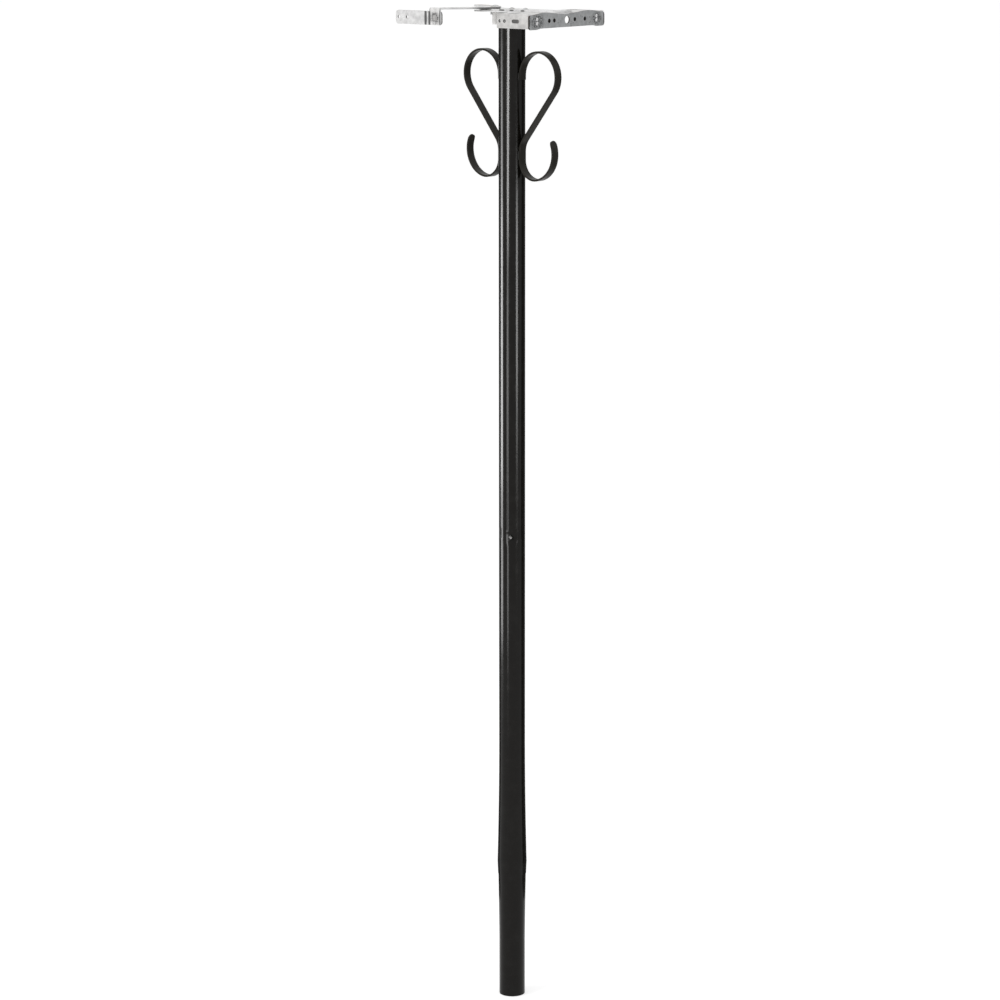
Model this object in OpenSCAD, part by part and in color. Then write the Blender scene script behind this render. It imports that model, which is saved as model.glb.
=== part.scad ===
// Two-piece round garden pole for a bird feeder: a drive-in stake, two tubes, a pair of
// flat-bar scroll hooks, and an adjustable zinc-plated feeder bracket on the top.
// Millimetres, +Z up. The origin is the centre of the stake's lower end.

/* [Pole] */
// Outside diameter of the tubes
pole_od = 40; // [32:0.1:50]
// Wall of the tubes
pole_wall = 1.2; // [1:0.1:2]
// Length of the upper tube, from the joint to its top end
upper_len = 791; // [500:0.5:1000]
// Exposed length of the lower tube, from its flared mouth to the joint
lower_len = 533; // [400:0.5:800]
// Length of the spigot that plugs into the upper tube
spigot_len = 75; // [40:1:120]
// Radial clearance of the spigot in the upper tube
spigot_gap = 0.15; // [0.1:0.05:0.3]

/* [Flared mouth and stake] */
// Height of the flared mouth above the stake's lower end
mouth_z = 196; // [120:1:260]
// Greatest outside diameter of the flare
flare_od = 45.5; // [42:0.1:56]
// Length over which the tube opens out to the flare
flare_len = 205; // [150:1:300]
// Height of the flare's widest ring above its mouth
flare_lip = 20; // [10:1:30]
// Amount that the lip thins towards the mouth, in radius
lip_draw = 0.8; // [0.2:0.05:0.9]
// Straight length at the stake's lower end
stake_straight = 90; // [80:1:140]
// Depth that the stake goes up inside the flare
stake_depth = 89; // [60:1:110]
// Radial clearance between the stake and the flare
stake_gap = 0.1; // [0.1:0.05:0.3]

/* [Joint screw] */
// Direction that the joint screw faces, from +X towards +Y
screw_turn = -56; // [-180:1:180]
// Diameter of the joint screw's head
screw_head_d = 7.4; // [5:0.1:8]
// Height of the joint screw's head
screw_head_h = 2.4; // [1.5:0.1:3]
// Diameter of the joint screw's shank
screw_d = 4; // [3:0.1:5]
// Height of the screw's axis above the lower edge of the upper tube
screw_rise = 4; // [3.5:0.1:8]

/* [Scroll hooks] */
// Turn of the pair of scrolls round the pole, from the X axis towards +Y
scroll_turn = -4; // [-20:1:20]
// Width of the flat bar
bar_w = 12; // [8:0.1:20]
// Thickness of the flat bar
bar_t = 3; // [2:0.1:5]
// Radius of the upper loop, to the middle of the bar
loop_r = 36; // [25:0.1:45]
// Height of the loop's centre below the top of the pole
loop_drop = 91.1; // [60:0.1:140]
// Length of the loop's end that lies on the pole below the loop's centre
loop_leg = 6; // [4:1:30]
// Turn of the loop past its outermost point, in degrees
loop_over = 39; // [25:0.5:50]
// Radius of the bends beside the pole, to the middle of the bar
bend_r = 28.3; // [20:0.1:35]
// Height of the hook's lower bend below the top of the pole
hook_drop = 215.1; // [200:0.1:260]
// Radius of the hook's outer sweep, to the middle of the bar
sweep_r = 39.8; // [30:0.1:45]
// Direction at which the lower bend opens into the outer sweep, in degrees
sweep_from = -80; // [-85:1:-50]
// Direction at which the hook's tip ends, in degrees
tip_turn = 22; // [5:1:50]

/* [Bracket sheet] */
// Thickness of the pressed sheet
sheet = 2; // [1.5:0.1:3]
// Height of the downturned flanges, over the sheet
flange_h = 20.8; // [16:0.1:30]
// Distance from the pole's axis to the outer face of the end strip
end_x = 105; // [90:1:140]
// Distance from the pole's axis to the inner edge of the wide part
wing_x = 44.3; // [35:0.1:60]
// Width of the bracket over its side flanges
bracket_w = 174; // [140:1:220]
// Width of the hub over the pole
hub_w = 60; // [52:1:80]
// Distance from the pole's axis to the left end of the hub
hub_x = 52; // [48:1:70]
// Radius of the hub's corners
hub_corner = 8; // [4:0.5:14]
// Length of the tabs folded round the two end corners
tab_len = 25; // [14:0.5:30]

/* [Holes of the mounting plate] */
// Length of the two slots in the top
slot_len = 34; // [20:1:40]
// Width of the two slots in the top
slot_w = 7; // [5:0.5:9]
// Distance from the pole's axis to the two slots in the top
slot_x = 60; // [56:1:80]
// Distance between the middles of the two slots in the top
slot_pitch = 124; // [100:1:130]
// Diameter of the round holes in the side flanges
side_hole_d = 5; // [4:0.1:7]
// Distance from the pole's axis to the first hole in a side flange
side_hole_x = 50; // [49:0.5:52]
// Pitch of the two round holes in a side flange
side_pitch = 8.7; // [8:0.1:10]
// Width of the slot in a side flange
side_slot_w = 5.5; // [4:0.1:7]
// Length of the slot in a side flange
side_slot_len = 14; // [8:0.5:16]
// Distance from the pole's axis to the middle of a side flange's slot
side_slot_x = 79.5; // [76:0.5:84]

/* [End strip] */
// Rise of the strip's end lobes above the top of the mounting plate
lobe_rise = 1.5; // [0:0.1:3]
// Fall of the strip's ends below the top of the mounting plate
end_fall = 1.5; // [0:0.1:3]
// Distance of the lobes from the strip's middle
lobe_y = 52; // [40:1:65]
// Depth of the waist in the strip's upper edge, below the lobes
waist_depth = 3.7; // [1:0.1:6]
// Drop of the strip's lower edge at its two ends
foot_drop = 1.5; // [0:0.1:3]
// Distance from the strip's middle to where its lower edge starts to drop
foot_y = 60; // [50:0.5:62]
// Length over which the strip's lower edge drops
foot_run = 10; // [6:0.5:12]
// Radius of the strip's corners
strip_corner = 5; // [2:0.5:7]
// Diameter of the strip's small holes
strip_hole_d = 6; // [4:0.1:8]
// Distance between the strip's two outer holes
strip_pitch = 82; // [70:1:90]
// Places of the strip's two inner holes, from its middle
strip_inner = [-29.5, 17.5];
// Diameter of the strip's middle hole
strip_mid_d = 11; // [8:0.5:14]
// Diameter of the rivets
rivet_d = 3.2; // [2.5:0.1:4]
// Spacing of the two rivets at each corner
rivet_pitch = 6; // [5.8:0.1:9]

/* [Centre strap and arms] */
// Width of the centre strap
strap_w = 40; // [36:1:50]
// Thickness of the two arms
arm_t = 2.5; // [2:0.1:4]
// Width of the two arms
arm_w = 18; // [14:1:20]
// Place of the front arm's pivot on the centre strap
front_pivot = [-26, -9.5];
// Place of the rear arm's pivot on the centre strap
rear_pivot = [-41, 10];
// Length of the rear arm between the middles of its round ends
rear_arm_len = 48.5; // [40:0.5:70]
// Direction of the rear arm, from +X towards +Y
rear_arm_turn = 158; // [140:1:175]
// Diameter of the two holes along the rear arm
arm_hole_d = 6; // [4:0.1:8]
// Distance from the pole's axis to the middle of the front arm's tab
front_tab_x = 75; // [65:1:85]
// Width of the front arm's tab
front_tab_w = 21; // [18:1:28]

/* [Side rail] */
// Distance from the pole's axis to the free end of the side rail
rail_x = 152; // [130:1:180]
// Height of the side rail
rail_h = 20.2; // [16:0.1:24]
// Distance by which the rail runs past the bolt's slot towards the pole
rail_past = 3; // [2:0.5:6]
// Distance from the bolt to each end of the rail's slot, less the bolt
rail_travel = 6; // [3:0.5:7]
// Distance from the pole's axis to the rail's joggle, where it steps out flush with the tab
joggle_x = 94; // [90:0.5:110]
// Length of the joggle
joggle_len = 4; // [3:0.5:8]
// Diameter of the rail's holes
rail_hole_d = 4.2; // [4:0.1:6]
// Distance from the rail's free end to its first hole
rail_hole_in = 6; // [5:0.5:10]
// Pitch of the rail's two holes
rail_pitch = 16.4; // [12:0.1:20]

/* [Fasteners] */
// Diameter of the pivot bolts
pivot_d = 6; // [5:0.5:8]
// Diameter of the heads of the pivot bolts
pivot_head_d = 13; // [11:0.5:15]
// Height of the domed heads of the pivot bolts
pivot_head_h = 2; // [1.5:0.1:4]
// Diameter of the rail bolt, the saddle bolt and the strap screws
small_bolt_d = 5; // [4:0.5:6]
// Diameter of the heads of those bolts and screws
small_head_d = 9.6; // [8:0.1:11]
// Radial clearance of every bolt in its hole
bolt_gap = 0.2; // [0.15:0.05:0.4]
// Length that a bolt's end stands out of its nut
bolt_tail = 1.5; // [1:0.5:3]

/* [Saddle] */
// Distance from the pole's axis to the saddle's left end
saddle_left = 19.5; // [15:0.5:19.5]
// Distance from the pole's axis to the saddle's right end
saddle_right = 34; // [31:0.5:42]
// Distance from the pole's axis to the second of the two strap screws
hub_screw_x = 26; // [24.5:0.5:28]
// Length of the saddle's two legs below the top of the pole
saddle_leg = 16.4; // [15:0.1:30]
// Depth of the cross bolt below the top of the pole
cross_drop = 10.3; // [10:0.1:11]

/* [Hidden] */
$fn = 64;

paint = [0.06, 0.06, 0.065];
zinc = [0.78, 0.79, 0.8];
cut = 1;                                   // how far a cutter runs past a face
bore_past = 0.2;                           // radial room of a rivet in its hole, doubled
nut_ratio = 0.8;                           // height of a nut for its bolt diameter
nut_flats = 1.75;                          // width across a nut's flats for its bolt

pole_r = pole_od / 2;
tube_r = pole_r - pole_wall;
spigot_r = tube_r - spigot_gap;
joint_z = mouth_z + lower_len;
top_z = joint_z + upper_len;
flare_r = flare_od / 2;
ring_z = mouth_z + flare_lip;
taper_top = ring_z + flare_len;
stake_top = mouth_z + stake_depth;
stake_swell = flare_r - pole_wall - stake_gap;
ease = 0.1;                                // how far the worn round tip lies inside the bar's faces
arc_step = 6;                              // turn of one flat of the scrolls' bends
steps = 8;                                 // straight stretches along each curved taper

touch_x = pole_r + bar_t / 2;              // middle of a scroll's bar where it lies on the pole
slant_len = (loop_r * (1 + cos(loop_over)) - bend_r * (1 - cos(loop_over))) / sin(loop_over);
bend_low = -loop_drop - (loop_r + bend_r) * sin(loop_over) - slant_len * cos(loop_over);
hook_c = [touch_x + bend_r, -hook_drop];
sweep_c = hook_c - (sweep_r - bend_r) * [cos(sweep_from), sin(sweep_from)];

saddle_top = top_z + sheet;
plate_top = saddle_top + sheet;
strap_top = plate_top + sheet;
arm_top = strap_top + arm_t;
flange_low = plate_top - flange_h;
flange_mid = plate_top - flange_h / 2;
side_y = bracket_w / 2;
strip_in_x = end_x - sheet;
tab_in_x = strip_in_x - sheet;
pivot_hole_r = pivot_d / 2 + bolt_gap;
small_hole_r = small_bolt_d / 2 + bolt_gap;
arm_r = arm_w / 2;
rail_y = side_y - sheet;                   // outer face of the side rail
rail_right = rail_travel + small_hole_r + rail_past;
strip_flat = side_y - strip_corner;        // half the length between the strip's rounded corners
strip_steps = 40;                          // straight stretches along the strip's edges

// Outer radius of the lower tube at height z: it opens out as the square of the way down
function flare_at(z) = z >= taper_top ? pole_r
    : pole_r + (flare_r - pole_r) * pow((taper_top - z) / flare_len, 2);
// Outer radius of the stake at height z below the mouth
function swell_at(z) = z <= stake_straight ? pole_r
    : pole_r + (stake_swell - pole_r) * pow((z - stake_straight) / (mouth_z - stake_straight), 1.2);

flare_curve = [for (i = [0 : steps]) let (z = ring_z + i * flare_len / steps) [flare_at(z), z]];
swell_curve = [for (i = [0 : steps])
    let (z = stake_straight + i * (mouth_z - stake_straight) / steps) [swell_at(z), z]];

// A tube wall turned from its outer line, with the inner line one wall inside it
function wall_line(outer, wall) = concat(outer,
    [for (i = [len(outer) - 1 : -1 : 0]) [outer[i][0] - wall, outer[i][1]]]);

// Flat plate outline with four corners of one radius
module rounded(size, r) {
    for (x = [r, size[0] - r], y = [r, size[1] - r]) translate([x, y]) circle(r);
    translate([r, 0]) square([size[0] - 2 * r, size[1]]);
    translate([0, r]) square([size[0], size[1] - 2 * r]);
}

// Slot outline of full length len and width w, lying along X, centred
module slot(len, w) {
    for (side = [-1, 1]) translate([side * (len - w) / 2, 0]) circle(w / 2);
    square([len - w, w], center = true);
}

// Low domed head standing on z = 0
module dome(d, h) {
    ball = (d * d / 4 + h * h) / (2 * h);
    intersection() {
        translate([0, 0, h - ball]) sphere(ball);
        cylinder(d = d, h = h);
    }
}

// Bolt with a domed head on z = 0 and its shank running down to -grip
module domed_bolt(d, head_d, head_h, grip) {
    dome(head_d, head_h);
    translate([0, 0, -grip]) cylinder(d = d, h = grip);
}

// Hexagon nut with its upper face on z = 0
module nut(d) {
    translate([0, 0, -nut_ratio * d]) difference() {
        cylinder(d = nut_flats * d / cos(30), h = nut_ratio * d, $fn = 6);
        translate([0, 0, -cut]) cylinder(d = d, h = nut_ratio * d + 2 * cut);
    }
}

// Rivet along +X from z = 0, through a stack of thickness grip, with a head at each end
module rivet(grip) {
    head_h = 0.35 * rivet_d;
    rotate([0, 90, 0]) {
        translate([0, 0, grip]) dome(1.7 * rivet_d, head_h);
        cylinder(d = rivet_d, h = grip);
        rotate([180, 0, 0]) dome(1.7 * rivet_d, head_h);
    }
}

module upper_pole() {
    color(paint) difference() {
        translate([0, 0, joint_z]) difference() {
            cylinder(r = pole_r, h = upper_len);
            translate([0, 0, -cut]) cylinder(r = tube_r, h = upper_len + 2 * cut);
        }
        joint_notch();
        cross_hole();
    }
}

// Notch in the lower edge of the upper tube, which drops over the joint screw
module joint_notch() {
    notch_r = screw_head_d / 2 + 2 * bolt_gap;
    rotate(screw_turn) translate([0, 0, joint_z]) {
        translate([0, 0, screw_rise]) rotate([0, 90, 0]) cylinder(r = notch_r, h = pole_od);
        translate([0, -notch_r, -cut]) cube([pole_od, 2 * notch_r, screw_rise + cut]);
    }
}

module cross_hole() {
    translate([0, 0, top_z - cross_drop]) rotate([90, 0, 0])
        cylinder(r = small_hole_r, h = 2 * pole_od, center = true);
}

module lower_pole() {
    shoulder = pole_wall;
    spigot_top = joint_z + spigot_len;
    outer = concat([[flare_r - lip_draw, mouth_z]], flare_curve, [[pole_r, joint_z]]);
    bore = concat([[flare_r, mouth_z]], flare_curve, [[pole_r, joint_z - shoulder]]);
    inner = [for (i = [len(bore) - 1 : -1 : 0]) [bore[i][0] - pole_wall, bore[i][1]]];
    spigot = [[spigot_r, joint_z], [spigot_r, spigot_top],
        [spigot_r - pole_wall, spigot_top], [spigot_r - pole_wall, joint_z - shoulder]];
    color(paint) difference() {
        rotate_extrude() polygon(concat(outer, spigot, inner));
        translate([0, 0, joint_z + screw_rise]) rotate([0, 90, screw_turn])
            cylinder(d = screw_d, h = pole_od);
    }
}

module drive_stake() {
    outer = concat([[pole_r, 0]], swell_curve,
        [[stake_swell, ring_z], [flare_at(stake_top) - pole_wall - stake_gap, stake_top]]);
    color(paint) rotate_extrude() polygon(wall_line(outer, pole_wall));
}

// Pan-head screw in the spigot wall; its head stands in the notch of the upper tube
module joint_screw() {
    seat = spigot_r;
    color(paint) rotate(screw_turn) translate([0, 0, joint_z + screw_rise]) rotate([0, 90, 0]) {
        translate([0, 0, seat]) cylinder(d = screw_head_d, h = screw_head_h / 2);
        translate([0, 0, seat + screw_head_h / 2]) dome(screw_head_d, screw_head_h / 2);
        translate([0, 0, seat - 3 * pole_wall]) cylinder(d = screw_d, h = 3 * pole_wall);
    }
}

// Points on an arc round a centre c, of radius r, from angle a to angle b
function arc(c, r, a, b) = let (n = ceil(abs(b - a) / arc_step))
    [for (i = [0 : n]) let (turn = a + i * (b - a) / n) c + r * [cos(turn), sin(turn)]];

// One edge of the scroll's bar, h to the left of its middle line, from the pole end to the tip:
// the leg, the loop, the slanting bar, the bend beside the pole, and the hook in two sweeps
function scroll_edge(h) = concat(
    [[touch_x - h, -loop_drop - loop_leg]],
    arc([touch_x + loop_r, -loop_drop], loop_r + h, 180, -loop_over),
    arc([touch_x + bend_r, bend_low], bend_r - h, 180 - loop_over, 180),
    arc(hook_c, bend_r - h, 180, 360 + sweep_from),
    arc(sweep_c, sweep_r - h, sweep_from, tip_turn));

// One scroll on the +X side, with its rounded tip
module scroll() {
    left = scroll_edge(bar_t / 2);
    right = scroll_edge(-bar_t / 2);
    back = [for (i = [len(right) - 1 : -1 : 0]) right[i]];
    tip = sweep_c + sweep_r * [cos(tip_turn), sin(tip_turn)];
    translate([0, 0, top_z]) {
        translate([0, bar_w / 2, 0]) rotate([90, 0, 0]) linear_extrude(bar_w) polygon(concat(left, back));
        translate([tip[0], 0, tip[1]]) rotate([0, 90 - tip_turn, 0])
            cylinder(d = bar_w - 2 * ease, h = bar_t - 2 * ease, center = true);
    }
}

module right_scroll() {
    color(paint) rotate(scroll_turn) scroll();
}

module left_scroll() {
    color(paint) rotate(scroll_turn) mirror([1, 0, 0]) scroll();
}

// Strip folded over the top of the upper tube, with a leg on each side of it
module pole_saddle() {
    color(zinc) difference() {
        union() {
            translate([-saddle_left, -pole_r - sheet, top_z])
                cube([saddle_left + saddle_right, pole_od + 2 * sheet, sheet]);
            for (side = [-1, 1])
                translate([-saddle_left, side * (pole_r + sheet / 2) - sheet / 2, top_z - saddle_leg])
                    cube([saddle_left + saddle_right, sheet, saddle_leg]);
        }
        cross_hole();
        strap_screw_holes();
    }
}

module strap_screw_places() {
    for (x = [0, hub_screw_x]) translate([x, 0, top_z]) children();
}

module strap_screw_holes() {
    strap_screw_places() translate([0, 0, -cut]) cylinder(r = small_hole_r, h = 3 * sheet + 2 * cut);
}

// Cross bolt through the two legs and the tube
module saddle_bolt() {
    span = pole_od + 2 * sheet;
    color(zinc) translate([0, -span / 2, top_z - cross_drop]) rotate([90, 0, 0])
        domed_bolt(small_bolt_d, small_head_d, small_head_d / 3, span + nut_ratio * small_bolt_d + bolt_tail);
}

module saddle_nut() {
    color(zinc) translate([0, pole_r + sheet, top_z - cross_drop]) rotate([90, 0, 0]) nut(small_bolt_d);
}

// Outline of the plate's top: the hub over the pole and the wide part beside it
module plate_outline() {
    fillet = hub_corner;
    translate([-hub_x, -hub_w / 2]) rounded([hub_x + wing_x + hub_corner * 2, hub_w], hub_corner);
    translate([wing_x, -side_y]) square([strip_in_x - wing_x, bracket_w]);
    for (side = [-1, 1]) translate([wing_x, side * hub_w / 2]) difference() {
        translate([-fillet, side > 0 ? 0 : -fillet]) square(fillet);
        translate([-fillet, side * fillet]) circle(fillet);
    }
}

// Pressed plate: flat top, a downturned flange on each side, and a tab folded round each corner
module mounting_plate() {
    flange_len = strip_in_x - wing_x;
    color(zinc) difference() {
        union() {
            translate([0, 0, saddle_top]) linear_extrude(sheet) plate_outline();
            for (side = [-1, 1]) {
                translate([wing_x, side * (side_y - sheet / 2) - sheet / 2, flange_low])
                    cube([flange_len, sheet, flange_h]);
                translate([tab_in_x, side > 0 ? side_y - tab_len : -side_y, flange_low])
                    cube([sheet, tab_len, flange_h]);
            }
        }
        strap_screw_holes();
        pivot_holes();
        strap_rivet_places() cylinder(d = rivet_d + bore_past, h = 4 * sheet, center = true);
        corner_rivet_places() rotate([0, 90, 0])
            cylinder(d = rivet_d + bore_past, h = 4 * sheet, center = true);
        for (side = [-1, 1]) {
            translate([slot_x, side * slot_pitch / 2, saddle_top - cut]) rotate(90)
                linear_extrude(sheet + 2 * cut) slot(slot_len, slot_w);
            translate([0, side * side_y, flange_mid]) rotate([90, 0, 0])
                linear_extrude(4 * sheet, center = true) side_holes();
        }
    }
}

// Holes of one side flange, seen along Y
module side_holes() {
    for (i = [0, 1]) translate([side_hole_x + i * side_pitch, 0]) circle(d = side_hole_d);
    translate([side_slot_x, 0]) slot(side_slot_len, side_slot_w);
}

module pivot_holes() {
    for (p = [front_pivot, rear_pivot]) translate([p[0], p[1], top_z]) cylinder(r = pivot_hole_r, h = 6 * sheet);
}

module corner_rivet_places() {
    for (side = [-1, 1], level = [-0.5, 0.5])
        translate([tab_in_x, side * (side_y - tab_len + 2 * rivet_d), flange_mid + level * rivet_pitch])
            children();
}

module strap_rivet_places() {
    for (side = [-1, 1]) translate([tab_in_x - 4 * rivet_d, side * strap_w / 4, saddle_top]) children();
}

module corner_rivets() {
    color(zinc) corner_rivet_places() rivet(2 * sheet);
}

module strap_rivets() {
    color(zinc) strap_rivet_places() rotate([0, -90, 0]) rivet(2 * sheet);
}

// Height of the strip's upper edge at a distance y from its middle: a waist, a lobe, and a fall
function strip_top(y) = let (u = abs(y), run = strip_flat - lobe_y) flange_h + lobe_rise
    - (u < lobe_y ? waist_depth * (1 + cos(180 * u / lobe_y)) / 2
        : (lobe_rise + end_fall) * (1 - cos(180 * (u - lobe_y) / run)) / 2);

// Height of the strip's lower edge at a distance y from its middle: flat, then dropping at the ends
function strip_low(y) = let (past = min(1, max(0, (abs(y) - foot_y) / foot_run)))
    -foot_drop * (1 - cos(180 * past)) / 2;

module strip_holes() {
    for (y = concat(strip_inner, [-strip_pitch / 2, strip_pitch / 2])) translate([y, flange_h / 2]) children();
}

// Perforated strip across the end, waisted along its upper edge
module end_strip() {
    stations = [for (i = [0 : strip_steps]) strip_flat * (1 - 2 * i / strip_steps)];
    upper = [for (y = stations) [y, strip_top(y)]];
    lower = [for (y = stations) [-y, strip_low(y)]];
    end_w = side_y - foot_y - foot_run;
    color(zinc) translate([strip_in_x, 0, flange_low]) rotate([90, 0, 90]) linear_extrude(sheet) difference() {
        union() {
            for (y = [-side_y, side_y - end_w]) translate([y, -foot_drop])
                rounded([end_w, flange_h - end_fall + foot_drop], strip_corner);
            polygon(concat(lower, upper));
        }
        translate([0, flange_h / 2]) circle(d = strip_mid_d);
        strip_holes() circle(d = strip_hole_d);
        for (side = [-1, 1], level = [-0.5, 0.5])
            translate([side * (side_y - tab_len + 2 * rivet_d), flange_h / 2 + level * rivet_pitch])
                circle(d = rivet_d + bore_past);
    }
}

// Weld nuts behind the strip's small holes
module strip_nuts() {
    color(zinc) translate([strip_in_x, 0, flange_low]) rotate([90, 0, 90]) strip_holes() nut(small_bolt_d);
}

module centre_strap() {
    color(zinc) difference() {
        translate([-hub_x, -strap_w / 2, plate_top])
            linear_extrude(sheet) rounded([hub_x + tab_in_x, strap_w], hub_corner);
        pivot_holes();
        strap_rivet_places() cylinder(d = rivet_d + bore_past, h = 8 * sheet, center = true);
        strap_screw_holes();
    }
}

// Two screws through the strap, the plate and the saddle
module strap_screws() {
    grip = 3 * sheet + nut_ratio * small_bolt_d + bolt_tail;
    color(zinc) strap_screw_places() translate([0, 0, 3 * sheet])
        domed_bolt(small_bolt_d, small_head_d, small_head_d / 4, grip);
}

module strap_nuts() {
    color(zinc) strap_screw_places() nut(small_bolt_d);
}

// Flat arm from its pivot out to a corner, where a tab turns down outside the side rail
module front_arm() {
    tab_left = [-front_tab_x - front_tab_w / 2, -side_y];
    tab_right = [-front_tab_x + front_tab_w / 2, -side_y];
    way = [-front_tab_x, -side_y] - front_pivot;
    across = arm_r * [way[1], -way[0]] / norm(way);
    color(zinc) difference() {
        union() {
            translate([0, 0, strap_top]) linear_extrude(arm_t) {
                translate(front_pivot) circle(arm_r);
                polygon([front_pivot + across, front_pivot - across, tab_right + [0, sheet],
                    tab_right, tab_left, tab_left + [0, 2 * sheet]]);
            }
            translate([tab_left[0], -side_y, flange_low]) cube([front_tab_w, sheet, arm_top - flange_low]);
        }
        pivot_holes();
        translate([-front_tab_x, -side_y, flange_mid]) rotate([90, 0, 0])
            cylinder(r = small_hole_r, h = 4 * sheet, center = true);
    }
}

module rear_arm() {
    color(zinc) difference() {
        translate([rear_pivot[0], rear_pivot[1], strap_top]) rotate(rear_arm_turn)
            linear_extrude(arm_t) translate([rear_arm_len / 2, 0]) slot(rear_arm_len + arm_w, arm_w);
        pivot_holes();
        translate([rear_pivot[0], rear_pivot[1], strap_top - cut]) rotate(rear_arm_turn)
            for (i = [0, 1]) translate([rear_arm_len * (1 - 0.4 * i), 0])
                cylinder(d = arm_hole_d, h = arm_t + 2 * cut);
    }
}

// Two domed bolts, one at each arm's pivot
module pivot_bolts() {
    grip = arm_t + 2 * sheet + nut_ratio * pivot_d + bolt_tail;
    color(zinc) for (p = [front_pivot, rear_pivot])
        translate([p[0], p[1], arm_top]) domed_bolt(pivot_d, pivot_head_d, pivot_head_h, grip);
}

module pivot_nuts() {
    color(zinc) for (p = [front_pivot, rear_pivot]) translate([p[0], p[1], saddle_top]) nut(pivot_d);
}

// Perforated rail on the front side, held behind the front arm's tab and stepped out flush
// with it beyond the tab
module side_rail() {
    len = rail_x - front_tab_x + rail_right;
    step_in = -joggle_x + joggle_len;
    ends = [-rail_x - cut, rail_right];
    color(zinc) intersection() {
        translate([0, 0, flange_low]) linear_extrude(rail_h) polygon([[ends[0], -side_y],
            [-joggle_x, -side_y], [step_in, -rail_y], [ends[1], -rail_y], [ends[1], sheet - rail_y],
            [step_in, sheet - rail_y], [-joggle_x, sheet - side_y], [ends[0], sheet - side_y]]);
        translate([-rail_x, cut - rail_y + sheet, flange_low]) rotate([90, 0, 0])
            linear_extrude(2 * sheet + 2 * cut) difference() {
            rounded([len, rail_h], strip_corner);
            for (i = [0, 1]) translate([rail_hole_in + i * rail_pitch, flange_h / 2]) circle(d = rail_hole_d);
            translate([rail_x - front_tab_x, flange_h / 2])
                slot(2 * (rail_travel + small_hole_r), 2 * small_hole_r);
        }
    }
}

module rail_bolt() {
    grip = 2 * sheet + nut_ratio * small_bolt_d + 4 * bolt_tail;
    color(zinc) translate([-front_tab_x, -side_y, flange_mid]) rotate([90, 0, 0])
        domed_bolt(small_bolt_d, small_head_d, small_head_d / 3, grip);
}

module rail_nut() {
    color(zinc) translate([-front_tab_x, sheet - rail_y, flange_mid]) rotate([90, 0, 0]) nut(small_bolt_d);
}

upper_pole();
lower_pole();
drive_stake();
joint_screw();
left_scroll();
right_scroll();
pole_saddle();
saddle_bolt();
saddle_nut();
mounting_plate();
end_strip();
strip_nuts();
corner_rivets();
centre_strap();
strap_rivets();
strap_screws();
strap_nuts();
front_arm();
rear_arm();
pivot_bolts();
pivot_nuts();
side_rail();
rail_bolt();
rail_nut();
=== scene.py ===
import math

import bpy
from mathutils import Matrix, Quaternion, Vector


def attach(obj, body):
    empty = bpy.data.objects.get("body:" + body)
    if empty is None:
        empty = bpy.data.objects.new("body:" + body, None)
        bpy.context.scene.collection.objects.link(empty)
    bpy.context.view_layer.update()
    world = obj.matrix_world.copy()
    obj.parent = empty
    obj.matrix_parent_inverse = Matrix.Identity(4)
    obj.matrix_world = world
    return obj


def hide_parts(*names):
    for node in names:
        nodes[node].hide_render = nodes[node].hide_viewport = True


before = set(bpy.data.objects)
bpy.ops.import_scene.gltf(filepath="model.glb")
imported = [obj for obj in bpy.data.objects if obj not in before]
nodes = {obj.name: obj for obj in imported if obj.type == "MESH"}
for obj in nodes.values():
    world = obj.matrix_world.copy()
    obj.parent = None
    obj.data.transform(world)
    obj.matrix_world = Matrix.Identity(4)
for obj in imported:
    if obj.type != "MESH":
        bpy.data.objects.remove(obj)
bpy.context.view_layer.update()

scene = bpy.context.scene

# Sizes that the part's source gives, in metres
POLE_R = 0.02
SPIGOT_R = 0.01865
JOINT_Z = 0.729
TOP_Z = 1.52
SHEET = 0.002
ARM_SHEET = 0.0025
SADDLE_TOP = TOP_Z + SHEET
PLATE_TOP = SADDLE_TOP + SHEET
ARM_TOP = PLATE_TOP + SHEET + ARM_SHEET
FLANGE_MID = 1.5136
SIDE_Y = 0.087
RIVET_Y = 0.0684
END_X = 0.105
BAR_HALF = 0.006
SCREW_TURN = math.radians(-56)
SCROLL_TURN = math.radians(-4)

# Tolerances, in metres
MERGE = 0.000004
HAIR = 0.00002
NEAR = 0.00001


def round_pole(turn, distance, height=0.0):
    """The place at a turn round the pole's axis, a distance from it, at a height."""
    return Vector((distance * math.cos(turn), distance * math.sin(turn), height))


def rays_seen(tree):
    """1 for rays from the camera, off gloss or through glass, and 0 for the rest."""
    path = tree.nodes.new("ShaderNodeLightPath")
    seen = path.outputs["Is Camera Ray"]
    for kind in ("Is Glossy Ray", "Is Transmission Ray"):
        either = tree.nodes.new("ShaderNodeMath")
        either.operation = "MAXIMUM"
        tree.links.new(seen, either.inputs[0])
        tree.links.new(path.outputs[kind], either.inputs[1])
        seen = either.outputs[0]
    return seen


# ---- camera -------------------------------------------------------------------------------

def aim(thing, eye, target, roll=0.0):
    """Puts a camera or lamp at eye, looking at target, turned by roll about its own axis."""
    way = Vector(target) - Vector(eye)
    thing.location = eye
    thing.rotation_euler = (way.to_track_quat("-Z", "Y") @ Quaternion((0, 0, 1), roll)).to_euler()


lens = bpy.data.cameras.new("lens")
lens.lens, lens.sensor_width, lens.clip_end = 116.068, 36.0, 80.0
camera = bpy.data.objects.new("camera", lens)
scene.collection.objects.link(camera)
eye = Vector((3.086666, -3.678545, 1.76))
aim(camera, eye, eye + Vector((-0.632848, 0.748386, -0.198549)), roll=-0.00096)
scene.camera = camera
scene.view_settings.view_transform = "Standard"


# ---- light --------------------------------------------------------------------------------

painted = bpy.data.collections.new("painted_pieces")


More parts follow.
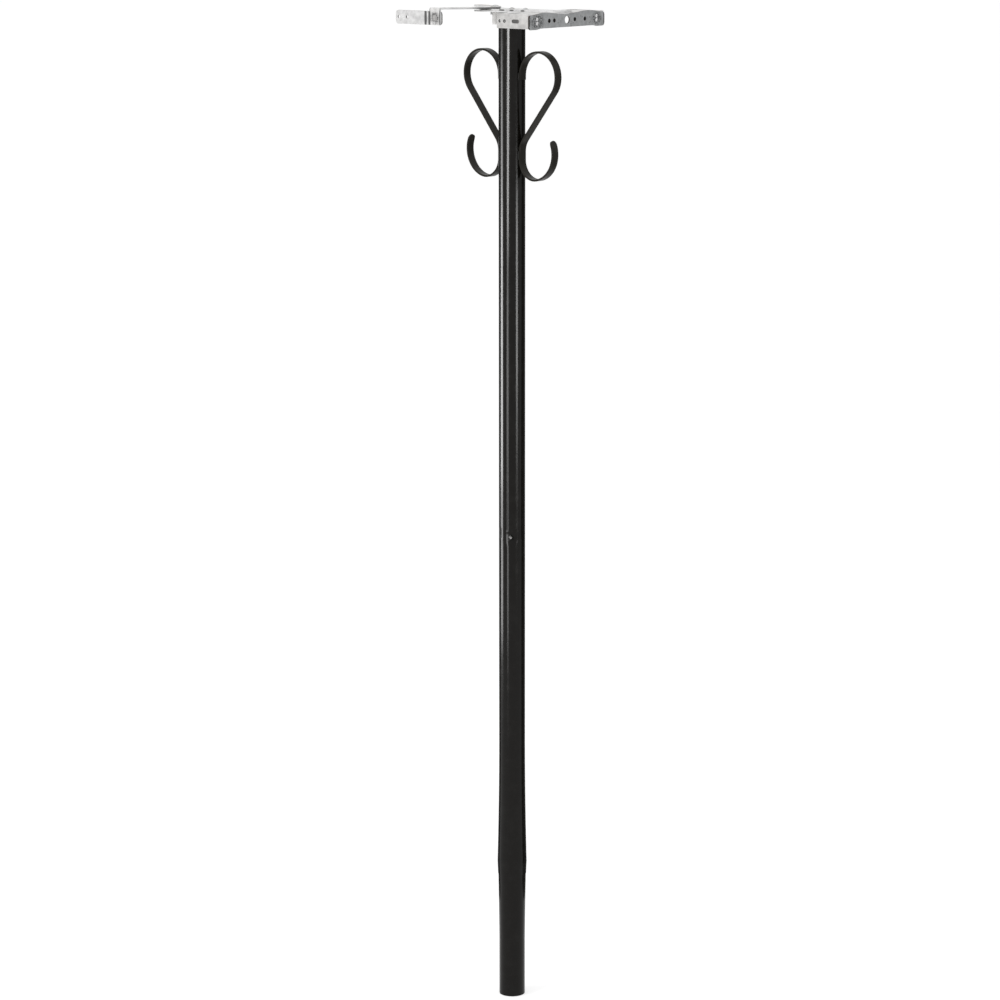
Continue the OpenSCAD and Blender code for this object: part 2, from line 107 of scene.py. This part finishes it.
def panel(name, turn, distance, low, high, width, radiance):
    """An upright light panel at a compass turn round the pole, facing it."""
    light = bpy.data.lights.new(name, "AREA")
    light.shape, light.size, light.size_y = "RECTANGLE", width, high - low
    light.energy = radiance * math.pi * width * (high - low)
    lamp = bpy.data.objects.new(name, light)
    scene.collection.objects.link(lamp)
    middle = (low + high) / 2
    aim(lamp, round_pole(math.radians(turn), distance, middle), (0, 0, middle))
    return lamp


def gloss_panel(*settings):
    """A panel that only shows as a reflection in the gloss paint."""
    lamp = panel(*settings)
    lamp.visible_diffuse = False
    lamp.light_linking.receiver_collection = painted


LEFT, FRONT, RIGHT = -148.5, -87.5, -8
PANEL_WAY = 2.1
# name, turn in degrees, low, high, width, radiance
for name, turn, *band in (
    ("left_foot_panel", LEFT, 0.05, 0.40, 0.9, 12),
    ("left_panel", LEFT, 0.40, 1.02, 0.9, 24),
    ("left_head_panel", LEFT, 1.02, 1.32, 0.9, 12),
    ("left_top_panel", LEFT, 1.32, 1.60, 0.8, 1.5),
    ("front_foot_panel", FRONT, 0.05, 0.45, 0.42, 10),
    ("front_leg_panel", FRONT, 0.45, 0.78, 0.42, 14),
    ("front_waist_panel", FRONT, 0.78, 0.95, 0.42, 8.5),
    ("front_head_panel", FRONT + 2, 0.95, 1.25, 0.5, 35),
    ("front_top_panel", FRONT + 6, 1.25, 1.75, 0.62, 44),
    ("right_foot_panel", RIGHT, 0.46, 0.62, 0.5, 10),
    ("right_panel", RIGHT, 0.62, 1.04, 0.55, 19),
):
    gloss_panel(name, turn, PANEL_WAY, *band)

key = panel("soft_key", -112, 2.4, 1.6, 3.2, 1.6, 3.2)
aim(key, key.location, (0, 0, 1.3))
key.visible_glossy = False
fill = panel("soft_fill", -20, 3.0, 0.8, 2.6, 1.8, 1.1)
fill.visible_glossy = False

sky = bpy.data.worlds.new("sky")
scene.world = sky
sky.use_nodes = True
tree = sky.node_tree
background = tree.nodes["Background"]
background.inputs["Color"].default_value = (1, 1, 1, 1)
level = tree.nodes.new("ShaderNodeMapRange")
level.inputs["To Min"].default_value = 0.5
level.inputs["To Max"].default_value = 1.0
tree.links.new(rays_seen(tree), level.inputs["Value"])
tree.links.new(level.outputs[0], background.inputs["Strength"])


# ---- finishes -----------------------------------------------------------------------------

class Finish:
    """A Principled material with helpers for adding pattern nodes to it."""

    def __init__(self, name, **sockets):
        self.material = bpy.data.materials.new(name)
        self.material.use_nodes = True
        self.tree = self.material.node_tree
        self.shader = self.tree.nodes["Principled BSDF"]
        self.place = self.add("ShaderNodeTexCoord")
        for socket, value in sockets.items():
            self.shader.inputs[socket.replace("_", " ")].default_value = value

    def add(self, kind, **settings):
        node = self.tree.nodes.new(kind)
        for key, value in settings.items():
            setattr(node, key, value)
        return node

    def link(self, a, b):
        self.tree.links.new(a, b)

    def stretched(self, scale):
        mapping = self.add("ShaderNodeMapping")
        mapping.inputs["Scale"].default_value = scale
        self.link(self.place.outputs["Object"], mapping.inputs["Vector"])
        return mapping.outputs["Vector"]

    def noise(self, scale, detail=2.0, rough=0.5, stretch=(1, 1, 1)):
        node = self.add("ShaderNodeTexNoise")
        node.inputs["Scale"].default_value = scale
        node.inputs["Detail"].default_value = detail
        node.inputs["Roughness"].default_value = rough
        self.link(self.stretched(stretch), node.inputs["Vector"])
        return node.outputs["Fac"]

    def cells(self, scale, stretch=(1, 1, 1)):
        node = self.add("ShaderNodeTexVoronoi")
        node.inputs["Scale"].default_value = scale
        self.link(self.stretched(stretch), node.inputs["Vector"])
        return node

    def ramp(self, value, low, high, start, end):
        node = self.add("ShaderNodeMapRange")
        sockets = ("From Min", "From Max", "To Min", "To Max")
        for socket, number in zip(sockets, (low, high, start, end)):
            node.inputs[socket].default_value = number
        self.link(value, node.inputs["Value"])
        return node.outputs[0]

    def blend(self, factor, first, second):
        node = self.add("ShaderNodeMix", data_type="RGBA")
        self.link(factor, node.inputs["Factor"])
        for index, colour in ((6, first), (7, second)):
            if hasattr(colour, "links"):
                self.link(colour, node.inputs[index])
            else:
                node.inputs[index].default_value = (*colour, 1)
        return node.outputs[2]

    def maths(self, operation, a, b):
        node = self.add("ShaderNodeMath", operation=operation)
        for index, value in enumerate((a, b)):
            if hasattr(value, "links"):
                self.link(value, node.inputs[index])
            else:
                node.inputs[index].default_value = value
        return node.outputs[0]

    def into(self, socket, value):
        self.link(value, self.shader.inputs[socket])

    def two_tone(self, value, low, high, first, second):
        self.into("Base Color", self.blend(self.ramp(value, low, high, 0, 1), first, second))

    def bump(self, height, depth, previous=None):
        node = self.add("ShaderNodeBump")
        node.inputs["Strength"].default_value = 1.0
        node.inputs["Distance"].default_value = depth
        self.link(height, node.inputs["Height"])
        if previous is not None:
            self.link(previous, node.inputs["Normal"])
        return node.outputs["Normal"]


def black_paint(name, dark, pale, gloss, roughness):
    """Powder coat: faint orange peel, drawn lines along the tube, dust and scuffs."""
    paint = Finish(name, Specular_IOR_Level=gloss)
    dust = paint.noise(60, 6, 0.65)
    scuff = paint.noise(30, 5, 0.7, (1, 1, 0.12))
    paint.two_tone(dust, 0.48, 0.8, dark, pale)
    scuffed = paint.ramp(scuff, 0.45, 0.75, roughness, roughness + 0.08)
    paint.into("Roughness", paint.maths("ADD", scuffed, paint.ramp(dust, 0.5, 0.75, 0, 0.05)))
    peel = paint.bump(paint.noise(420, 2, 0.4), 0.000005)
    paint.into("Normal", paint.bump(paint.noise(70, 2, 0.5, (1, 1, 0.05)), 0.000012, peel))
    return paint.material


def weld_paint():
    """The same coat over a weld bead, a little rougher."""
    paint = Finish("weld_paint", Specular_IOR_Level=0.3)
    grit = paint.noise(700, 4, 0.6)
    paint.two_tone(grit, 0.4, 0.7, (0.005, 0.0045, 0.0035), (0.014, 0.013, 0.011))
    paint.into("Roughness", paint.ramp(grit, 0.3, 0.7, 0.25, 0.4))
    paint.into("Normal", paint.bump(grit, 0.00005))
    return paint.material


def zinc_sheet(name, base, tint=(1, 1, 1), metallic=0.6, painted_shade_and_marks=()):
    """Zinc-plated sheet: spangle cells, rolled grain, dull patches and small dark specks. The dark
    marks, each a (place, reach, stretch, cover) and patchier as the cover grows, are mostly
    painted shade in holes, slots, creases and corners."""
    zinc = Finish(name, Metallic=metallic)
    cells = zinc.cells(160)
    patch = zinc.noise(38, 5, 0.6)
    grain = zinc.noise(300, 3, 0.6, (0.15, 1, 1))
    speck = zinc.noise(650, 3, 0.7)

    def tone(strength):
        return tuple(min(1, base * strength * part) for part in tint)

    spangle = zinc.blend(zinc.ramp(cells.outputs["Distance"], 0, 1, 0, 1), tone(0.84), tone(1.14))
    dull = zinc.blend(zinc.ramp(patch, 0.45, 0.7, 0, 0.8), spangle, tone(0.66))
    skin = zinc.blend(zinc.ramp(speck, 0.6, 0.75, 0, 0.7), dull, tone(0.4))
    blotch = zinc.noise(420, 4, 0.75)
    for place, reach, stretch, cover in painted_shade_and_marks:
        away = zinc.add("ShaderNodeVectorMath", operation="SUBTRACT")
        zinc.link(zinc.place.outputs["Object"], away.inputs[0])
        away.inputs[1].default_value = place
        spread = zinc.add("ShaderNodeVectorMath", operation="MULTIPLY")
        zinc.link(away.outputs[0], spread.inputs[0])
        spread.inputs[1].default_value = stretch
        size = zinc.add("ShaderNodeVectorMath", operation="LENGTH")
        zinc.link(spread.outputs[0], size.inputs[0])
        near = zinc.ramp(size.outputs["Value"], 0.6 * reach, reach, 1, 0)
        patchy = zinc.ramp(blotch, cover - 0.06, cover + 0.06, 0, 1)
        skin = zinc.blend(zinc.maths("MULTIPLY", near, patchy), skin, tone(0.16))
    zinc.into("Base Color", skin)
    worn = zinc.ramp(patch, 0.3, 0.7, 0.26, 0.44)
    zinc.into("Roughness", zinc.maths("ADD", worn, zinc.ramp(grain, 0.3, 0.7, -0.05, 0.06)))
    rolled = zinc.bump(grain, 0.00003)
    zinc.into("Normal", zinc.bump(cells.outputs["Distance"], 0.00006, rolled))
    return zinc.material


def cut_edge():
    """Sheared edges and punched holes: bare steel gone brown and grey."""
    steel = Finish("cut_edge", Metallic=0.5)
    shear = steel.noise(500, 4, 0.65)
    rust = steel.noise(90, 4, 0.6)
    scored = steel.ramp(shear, 0.35, 0.65, 0, 1)
    bare = steel.blend(scored, (0.03, 0.028, 0.026), (0.1, 0.095, 0.09))
    rusty = steel.ramp(rust, 0.5, 0.68, 0, 0.8)
    steel.into("Base Color", steel.blend(rusty, bare, (0.09, 0.045, 0.03)))
    steel.into("Roughness", steel.ramp(rust, 0.35, 0.7, 0.42, 0.7))
    steel.into("Normal", steel.bump(shear, 0.00004))
    return steel.material


def bright_zinc():
    """Bright plated fasteners with a little tarnish."""
    zinc = Finish("bright_zinc", Metallic=0.9)
    tarnish = zinc.noise(220, 4, 0.6)
    zinc.two_tone(tarnish, 0.4, 0.7, (0.62, 0.63, 0.64), (0.36, 0.34, 0.3))
    zinc.into("Roughness", zinc.ramp(tarnish, 0.3, 0.7, 0.2, 0.4))
    zinc.into("Normal", zinc.bump(zinc.noise(900, 2, 0.5), 0.00001))
    return zinc.material


def dull_rivet():
    """Soft aluminium rivets with a fine cast skin."""
    soft = Finish("dull_rivet", Metallic=0.75)
    skin = soft.noise(900, 4, 0.6)
    soft.two_tone(skin, 0.4, 0.7, (0.8, 0.8, 0.8), (0.55, 0.55, 0.55))
    soft.into("Roughness", soft.ramp(skin, 0.3, 0.7, 0.35, 0.55))
    soft.into("Normal", soft.bump(skin, 0.00002))
    return soft.material


def dark_recess():
    """Shaded steel inside a recess or a rivet's bore."""
    dark = Finish("dark_recess", Metallic=0.4)
    grime = dark.noise(800, 3, 0.6)
    dark.two_tone(grime, 0.4, 0.7, (0.02, 0.019, 0.018), (0.07, 0.066, 0.06))
    dark.into("Roughness", dark.ramp(grime, 0.3, 0.7, 0.5, 0.75))
    return dark.material


def worn_screw():
    """Black screw whose coat is worn to bright steel round the driver's recess."""
    screw = Finish("worn_screw", Metallic=0.35)
    wear = screw.noise(1500, 4, 0.6)
    screw.two_tone(wear, 0.35, 0.5, (0.16, 0.155, 0.15), (0.55, 0.54, 0.53))
    screw.into("Roughness", screw.ramp(wear, 0.3, 0.7, 0.25, 0.45))
    screw.into("Normal", screw.bump(wear, 0.00002))
    return screw.material


PAINT = black_paint("black_paint", (0.0056, 0.0046, 0.0034), (0.0122, 0.0112, 0.0098), 0.16, 0.12)
# The scroll bars get the pole's black coat several times paler: painted sheen, as they don't
# reflect the gloss panels
SHEEN_BAR_PAINT = black_paint("bar_paint", (0.025, 0.023, 0.019), (0.038, 0.036, 0.032), 0.1, 0.3)
WELD, WORN, DARK = weld_paint(), worn_screw(), dark_recess()
EDGE, BRIGHT, RIVET = cut_edge(), bright_zinc(), dull_rivet()

# A dark mark's stretch is round or drawn out along Z, and the least cover leaves it unbroken
ROUND, UPRIGHT = (1, 1, 1), (1, 1, 0.12)
SOLID = 0.25
WARM = (1.0, 0.985, 0.965)
FLANGE = zinc_sheet("zinc_plate", 0.7, WARM)
# Painted shade on the saddle's front leg, under the hub
SHADE = [((0.012, -0.022, TOP_Z - 0.01), 0.028, ROUND, SOLID)]
SADDLE = zinc_sheet("zinc_saddle", 0.85, WARM, painted_shade_and_marks=SHADE)
# Dark patches round the strip's corner rivets, and upright dark lines at its ends: painted shade
# where the strip meets the side flanges
CORNER_SHADE = []
for side in (-1, 1):
    CORNER_SHADE.append(((END_X, side * RIVET_Y, FLANGE_MID), 0.012 - 0.002 * side, (1, 0.75, 1), 0.5))
    CORNER_SHADE.append(((END_X, side * SIDE_Y, FLANGE_MID), 0.003, UPRIGHT, 0.4))
# The strip's zinc is darker than the plate's: partly a bluish zinc of its own, partly painted
# shade on a face turned from the key
STRIP = zinc_sheet("zinc_strip", 0.56, (0.98, 1.0, 1.01), 0.45, CORNER_SHADE)
# Painted shade in the side rail's two joggle creases
JOGGLE_SHADE = [((x, -SIDE_Y, FLANGE_MID), 0.0024, (1, 0.3, 0.12), SOLID) for x in (-0.0935, -0.0878)]
RAIL = zinc_sheet("zinc_rail", 0.8, (1.0, 0.995, 0.99), painted_shade_and_marks=JOGGLE_SHADE)
# A patchy dark ring round the rail bolt, and painted shade along the tab's two upright edges
TAB = [((-0.075, -SIDE_Y, FLANGE_MID), 0.0105, ROUND, 0.46)]
TAB += [((x, -SIDE_Y, FLANGE_MID), 0.0021, UPRIGHT, 0.33) for x in (-0.085, -0.065)]
ARM = zinc_sheet("zinc_arm", 0.8, (1.0, 0.99, 0.98), painted_shade_and_marks=TAB)
# The rear arm's zinc is darker and browner than the other arms': painted shade
BLADE_IN_SHADE = zinc_sheet("zinc_blade", 0.6, (1.0, 0.95, 0.91))


def painted_light_edge(name, painted_shade_and_marks=()):
    """The plated edge of a sheet, painted near-white and paler than its face: painted light. Dark
    only at the marks given.
    """
    return zinc_sheet(name, 0.97, metallic=0.05, painted_shade_and_marks=painted_shade_and_marks)


LIGHT_EDGE = painted_light_edge("zinc_light_edge")
# Darker on the front arm's edge near the hub's end
HUB_END = [((-0.026, -0.0095, PLATE_TOP + 0.003), 0.042, ROUND, SOLID)]
ARM_EDGE = painted_light_edge("zinc_arm_edge", HUB_END)
# Painted shade on the strap's edge round its screws and rivets
FASTENER_SHADE = []
for x, reach in ((-0.003, 0.006), (0.016, 0.0045), (0.037, 0.0045)):
    FASTENER_SHADE.append(((x, -0.02, PLATE_TOP + 0.001), reach, ROUND, SOLID))
STRAP_EDGE = painted_light_edge("zinc_strap_edge", FASTENER_SHADE)
# Painted shade in each flange's two holes and slot, and in the slot over it in the top
BORE_SHADE = []
for side in (-1, 1):
    BORE_SHADE += [((x, side * SIDE_Y, FLANGE_MID), 0.0055, ROUND, SOLID) for x in (0.05, 0.0587)]
    BORE_SHADE.append(((0.0795, side * SIDE_Y, FLANGE_MID), 0.006, (0.45, 1, 1), SOLID))
    BORE_SHADE.append(((0.06, side * 0.062, PLATE_TOP - 0.001), 0.0062, (1, 0.27, 1), SOLID))
PLATE_EDGE = painted_light_edge("zinc_plate_edge", BORE_SHADE)


# ---- modelling helpers --------------------------------------------------------------------

def alone(piece):
    """Makes a piece the only one selected, and active."""
    bpy.ops.object.select_all(action="DESELECT")
    piece.select_set(True)
    bpy.context.view_layer.objects.active = piece


def unselect(mesh):
    """Leaves nothing of a mesh selected."""
    for part in (mesh.polygons, mesh.edges, mesh.vertices):
        part.foreach_set("select", [False] * len(part))


def edit(piece, mode=(False, False, True)):
    """Enters edit mode on a piece; mode is whether vertices, edges and faces are picked."""
    alone(piece)
    bpy.ops.object.mode_set(mode="EDIT")
    bpy.context.tool_settings.mesh_select_mode = mode


def done():
    """Leaves edit mode."""
    bpy.ops.object.mode_set(mode="OBJECT")


def modify(piece, kind, **settings):
    """Adds a modifier to the active piece and applies it."""
    change = piece.modifiers.new("change", kind)
    for key, value in settings.items():
        setattr(change, key, value)
    bpy.ops.object.modifier_apply(modifier=change.name)


def settle(piece, slot, body="pole", *replaced):
    """Bakes a finished piece's place into its mesh, and joins it to the frame."""
    alone(piece)
    bpy.ops.object.transform_apply(location=True, rotation=True, scale=True)
    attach(piece, body)
    if replaced:
        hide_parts(*replaced)


def merged_copy(node, name, *finishes, thickness=0):
    """A copy of a CAD node's mesh, merged, with its flat faces whole. With a sheet's thickness,
    faces that aren't backed by another that far behind get the second finish."""
    piece = bpy.data.objects.new(name, nodes[node].data.copy())
    scene.collection.objects.link(piece)
    mesh = piece.data
    mesh.materials.clear()
    for finish in finishes:
        mesh.materials.append(finish)
    alone(piece)
    bpy.ops.object.mode_set(mode="EDIT")
    bpy.ops.mesh.select_all(action="SELECT")
    bpy.ops.mesh.remove_doubles(threshold=MERGE)
    done()
    if thickness:
        sides = []
        for face in mesh.polygons:
            hit, place, _, _ = piece.ray_cast(face.center - face.normal * HAIR, -face.normal)
            sides.append(0 if hit and (place - face.center).length < thickness * 1.15 else 1)
        mesh.polygons.foreach_set("material_index", sides)
    bpy.ops.object.mode_set(mode="EDIT")
    bpy.ops.mesh.select_all(action="SELECT")
    bpy.ops.mesh.dissolve_limited(angle_limit=math.radians(0.4), delimit={"MATERIAL"})
    done()
    return piece


def fold(piece, chosen, radius, segments=4):
    """Rounds the edges that chosen(a, b) picks by their two ends."""
    mesh = piece.data
    unselect(mesh)
    for line in mesh.edges:
        a, b = (mesh.vertices[i].co for i in line.vertices)
        if chosen(a, b):
            line.select = True
    edit(piece, (False, True, False))
    bpy.ops.mesh.bevel(offset=radius, segments=segments, profile=0.5, clamp_overlap=True)
    done()


def ease_edges(piece, width, segments=2, slope=30, material=-1):
    """Bevels the sharp edges, and shades the rest smooth with the broad faces kept flat."""
    alone(piece)
    modify(piece, "BEVEL", width=width, segments=segments, limit_method="ANGLE",
           angle_limit=math.radians(slope), material=material)
    bpy.ops.object.shade_smooth_by_angle(angle=math.radians(35))
    modify(piece, "WEIGHTED_NORMAL", weight=80, keep_sharp=True)


def sheet_piece(node, name, finish, thickness, body="pole", folds=None, fold_r=0.0016, edge=None):
    """A pressed sheet part: rounded folds, and eased cut edges with a finish of their own."""
    piece = merged_copy(node, name, finish, edge or EDGE, thickness=thickness)
    if folds:
        fold(piece, folds, fold_r)
    ease_edges(piece, 0.00025, 2)
    settle(piece, "zinc", body, node)
    return piece


def plain_piece(node, name, finish, slot, width, body="pole", segments=2, slope=30, lit=False,
                shape=None):
    """A solid part with eased edges and a smooth skin. Lit pieces reflect the gloss panels."""
    piece = merged_copy(node, name, finish)
    if shape:
        shape(piece)
    ease_edges(piece, width, segments, slope)
    settle(piece, slot, body, node)
    if lit:
        painted.objects.link(piece)
    return piece


def pin(name, radius, depth, sides=32):
    """A short cylinder along Z standing on the origin, to shape further."""
    bpy.ops.object.select_all(action="DESELECT")
    bpy.ops.mesh.primitive_cylinder_add(vertices=sides, radius=radius, depth=depth,
                                        location=(0, 0, depth / 2))
    piece = bpy.context.object
    piece.name = name
    alone(piece)
    bpy.ops.object.transform_apply(location=True, rotation=True, scale=True)
    return piece


def select_faces(piece, chosen):
    """Selects the faces that chosen(face) picks, and enters edit mode."""
    unselect(piece.data)
    for face in piece.data.polygons:
        face.select = chosen(face)
    edit(piece)


def copy_at(pattern, name, place):
    """A copy of a pattern piece with its own mesh, moved by a matrix."""
    piece = bpy.data.objects.new(name, pattern.data.copy())
    scene.collection.objects.link(piece)
    piece.data.transform(place)
    return piece


def joined(pieces, name):
    """Joins pieces into one."""
    bpy.ops.object.select_all(action="DESELECT")
    for piece in pieces:
        piece.select_set(True)
    bpy.context.view_layer.objects.active = pieces[0]
    bpy.ops.object.join()
    pieces[0].name = name
    return pieces[0]


# ---- pole ---------------------------------------------------------------------------------

def dimple(low, high):
    """Makes a shaper that presses a shallow dimple round the joint screw, between two heights."""
    spot = round_pole(SCREW_TURN, POLE_R, JOINT_Z + 0.002)
    depth, reach, fade, slices = 0.0006, 0.006, 0.008, 9

    def shape(piece):
        alone(piece)
        bpy.ops.object.mode_set(mode="EDIT")
        for i in range(1, slices):
            bpy.ops.mesh.select_all(action="SELECT")
            level = low + i * (high - low) / slices
            bpy.ops.mesh.bisect(plane_co=(0, 0, level), plane_no=(0, 0, 1))
        done()
        unselect(piece.data)
        for point in piece.data.vertices:
            outer = point.co.xy.length > POLE_R - 0.0003
            point.select = outer and (point.co - spot).length < reach
        edit(piece, (True, False, False))
        press = round_pole(SCREW_TURN, -depth)
        bpy.ops.transform.translate(value=press, use_proportional_edit=True,
                                    proportional_edit_falloff="SMOOTH", proportional_size=fade)
        done()

    return shape


plain_piece("upper_pole", "upper_tube", PAINT, "black_paint", 0.0003, lit=True,
            shape=dimple(JOINT_Z, JOINT_Z + 0.02))
plain_piece("lower_pole", "lower_tube", PAINT, "black_paint", 0.0002, lit=True,
            shape=dimple(JOINT_Z - 0.02, JOINT_Z))
plain_piece("drive_stake", "stake_tube", PAINT, "black_paint", 0.0003, lit=True)
for side in ("left", "right"):
    plain_piece(side + "_scroll", side + "_scroll_bar", SHEEN_BAR_PAINT, "black_paint", 0.0008,
                segments=3)


def joint_screw_head():
    """Pan head with a cross recess, its coat worn off round the recess."""
    height, shank_length = 0.0024, 0.0036
    head = pin("joint_screw_head", 0.0037, height, 48)
    for finish in (PAINT, WORN, DARK):
        head.data.materials.append(finish)
    select_faces(head, lambda face: face.normal.z > 0.9)
    bpy.ops.mesh.bevel(offset=0.0009, segments=5)
    done()
    select_faces(head, lambda face: face.normal.z > 0.9 and face.center.z > height - 0.0001)
    bpy.ops.mesh.inset(thickness=0.0013)
    done()
    for face in head.data.polygons:
        face.material_index = 1 if face.normal.z > 0.9 and face.center.xy.length < 0.001 else 0
    wings = []
    for turn in (0, 90):
        bpy.ops.object.select_all(action="DESELECT")
        bpy.ops.mesh.primitive_cube_add(size=1, location=(0, 0, height))
        wing = bpy.context.object
        wing.scale = (0.0028, 0.0005, 0.0022)
        wing.rotation_euler = (0, 0, math.radians(turn + 22))
        alone(wing)
        bpy.ops.object.transform_apply(location=True, rotation=True, scale=True)
        wing.data.materials.append(DARK)
        wings.append(wing)
    cutter = joined(wings, "cross_cutter")
    alone(head)
    modify(head, "BOOLEAN", operation="DIFFERENCE", solver="EXACT", object=cutter, use_self=True,
           material_mode="TRANSFER")
    bpy.data.objects.remove(cutter)
    shank = pin("shank", 0.002, shank_length)
    shank.data.materials.append(PAINT)
    shank.data.transform(Matrix.Translation((0, 0, -shank_length)))
    head = joined([head, shank], "joint_screw_head")
    turn = Matrix.Rotation(SCREW_TURN, 4, "Z") @ Matrix.Rotation(math.radians(90), 4, "Y")
    out = round_pole(SCREW_TURN, SPIGOT_R, JOINT_Z + 0.004)
    head.data.transform(Matrix.Translation(out) @ turn)
    alone(head)
    bpy.ops.object.shade_smooth_by_angle(angle=math.radians(35))
    settle(head, "screw_steel", "pole", "joint_screw")
    painted.objects.link(head)


joint_screw_head()


WELDS = ((0.010, TOP_Z - 0.0971), (0.012, TOP_Z - 0.2142))  # length, lower end


def weld_bead(length):
    """A rippled bead along Z, from overlapping beads of metal melted into one."""
    pitch, drops = 0.0011, []
    count = int(length / pitch)
    for i in range(count):
        bpy.ops.object.select_all(action="DESELECT")
        bpy.ops.mesh.primitive_uv_sphere_add(segments=16, ring_count=10, radius=0.0016,
                                             location=(0, 0, (i + 0.5) * length / count))
        drop = bpy.context.object
        swell = 1 + 0.08 * math.sin(2.4 * i)
        drop.scale = (swell, swell, 0.75)
        alone(drop)
        bpy.ops.object.transform_apply(location=True, rotation=True, scale=True)
        drops.append(drop)
    bead = joined(drops, "bead")
    alone(bead)
    modify(bead, "REMESH", mode="VOXEL", voxel_size=0.00035)
    modify(bead, "SMOOTH", factor=0.5, iterations=2)
    bpy.ops.object.shade_smooth()
    bead.data.materials.clear()
    bead.data.materials.append(WELD)
    return bead


def weld_beads():
    """Beads on both sides of each scroll's bar, where it lies on the pole."""
    stand_off, beads = 0.0009, []
    reach = math.sqrt(POLE_R ** 2 - BAR_HALF ** 2) + stand_off
    for length, low in WELDS:
        pattern = weld_bead(length)
        for side in (0, math.pi):
            for edge in (-1, 1):
                turned = Matrix.Rotation(SCROLL_TURN + side, 4, "Z")
                spot = turned @ Matrix.Translation((reach, edge * BAR_HALF, low))
                beads.append(copy_at(pattern, "bead_copy", spot))
        bpy.data.objects.remove(pattern)
    beads = joined(beads, "weld_beads")
    settle(beads, "black_paint")


weld_beads()


# ---- bracket ------------------------------------------------------------------------------

def fold_line(height, out):
    """Makes a chooser of the lines at a height and that far out to either side."""

    def chosen(a, b):
        return all(abs(p.z - height) < NEAR and abs(abs(p.y) - out) < NEAR for p in (a, b))

    return chosen


sheet_piece("mounting_plate", "plate_sheet", FLANGE, SHEET, folds=fold_line(PLATE_TOP, SIDE_Y),
            edge=PLATE_EDGE)
sheet_piece("end_strip", "strip_sheet", STRIP, SHEET)
sheet_piece("centre_strap", "strap_sheet", RAIL, SHEET, edge=STRAP_EDGE)
sheet_piece("pole_saddle", "saddle_sheet", SADDLE, SHEET,
            folds=fold_line(SADDLE_TOP, POLE_R + SHEET), fold_r=0.0012)
sheet_piece("front_arm", "front_arm_sheet", ARM, ARM_SHEET, "front_arm",
            folds=fold_line(ARM_TOP, SIDE_Y), edge=ARM_EDGE)
sheet_piece("rear_arm", "rear_arm_sheet", BLADE_IN_SHADE, ARM_SHEET, "rear_arm", edge=LIGHT_EDGE)
sheet_piece("side_rail", "rail_sheet", RAIL, SHEET, "side_rail")


def dark_bores(piece):
    """Gives a nut's bore, and its face behind the strip's hole, the shaded finish."""
    widest, mesh = 0.0065, piece.data
    mesh.materials.append(DARK)
    for face in mesh.polygons:
        hit, place, _, _ = piece.ray_cast(face.center + face.normal * HAIR, face.normal)
        if face.normal.x > 0.9 or (hit and (place - face.center).length < widest):
            face.material_index = 1


for node in ("saddle_bolt", "strap_screws", "pivot_bolts"):
    plain_piece(node, node + "_plated", BRIGHT, "bolt_zinc", 0.0002)
plain_piece("rail_bolt", "rail_bolt_plated", WORN, "bolt_zinc", 0.0002, "front_arm")
for node, body in (("saddle_nut", "pole"), ("strap_nuts", "pole"), ("pivot_nuts", "pole"),
                   ("rail_nut", "front_arm")):
    plain_piece(node, node + "_plated", BRIGHT, "bolt_zinc", 0.0004, body, segments=1)
plain_piece("strip_nuts", "strip_nuts_plated", BRIGHT, "bolt_zinc", 0.0004, segments=1,
            shape=dark_bores)
for node in ("corner_rivets", "strap_rivets"):
    plain_piece(node, node + "_soft", RIVET, "rivet_aluminium", 0.0001, slope=50)


# ---- floor and dark cards -----------------------------------------------------------------

def flag(name, turn, distance, width, height):
    """A dark upright card behind the pole, that only shows as a reflection in the paint's edge."""
    bpy.ops.object.select_all(action="DESELECT")
    way = math.radians(turn)
    bpy.ops.mesh.primitive_plane_add(size=1, location=round_pole(way, distance, height / 2))
    card = bpy.context.object
    card.name = name
    card.scale = (width, height, 1)
    card.rotation_euler = (math.radians(90), 0, way + math.radians(90))
    card.visible_camera = card.visible_diffuse = card.visible_shadow = False
    return card


bpy.ops.object.select_all(action="DESELECT")
bpy.ops.mesh.primitive_plane_add(size=80, location=(0, 0, -0.0005))
floor = bpy.context.object
floor.name = "floor"
pale = Finish("pale_floor", Roughness=0.9, Specular_IOR_Level=0.1, Base_Color=(0.8, 0.8, 0.8, 1))
pale.shader.inputs["Emission Color"].default_value = (1, 1, 1, 1)
pale.into("Emission Strength", pale.maths("MULTIPLY", rays_seen(pale.tree), 0.6))
floor.data.materials.append(pale.material)

felt = Finish("black_felt", Roughness=1.0, Specular_IOR_Level=0.0, Base_Color=(0.2, 0.2, 0.2, 1))
# name, turn in degrees, distance, width, height
for name, *place in (
    ("left_flag", 172, 1.6, 1.2, 1.7),
    ("right_flag", 75, 1.6, 2.2, 1.7),
    ("left_low_flag", 172, 0.45, 0.34, 0.45),
    ("right_low_flag", 75, 0.45, 0.62, 0.45),
):
    flag(name, *place).data.materials.append(felt.material)
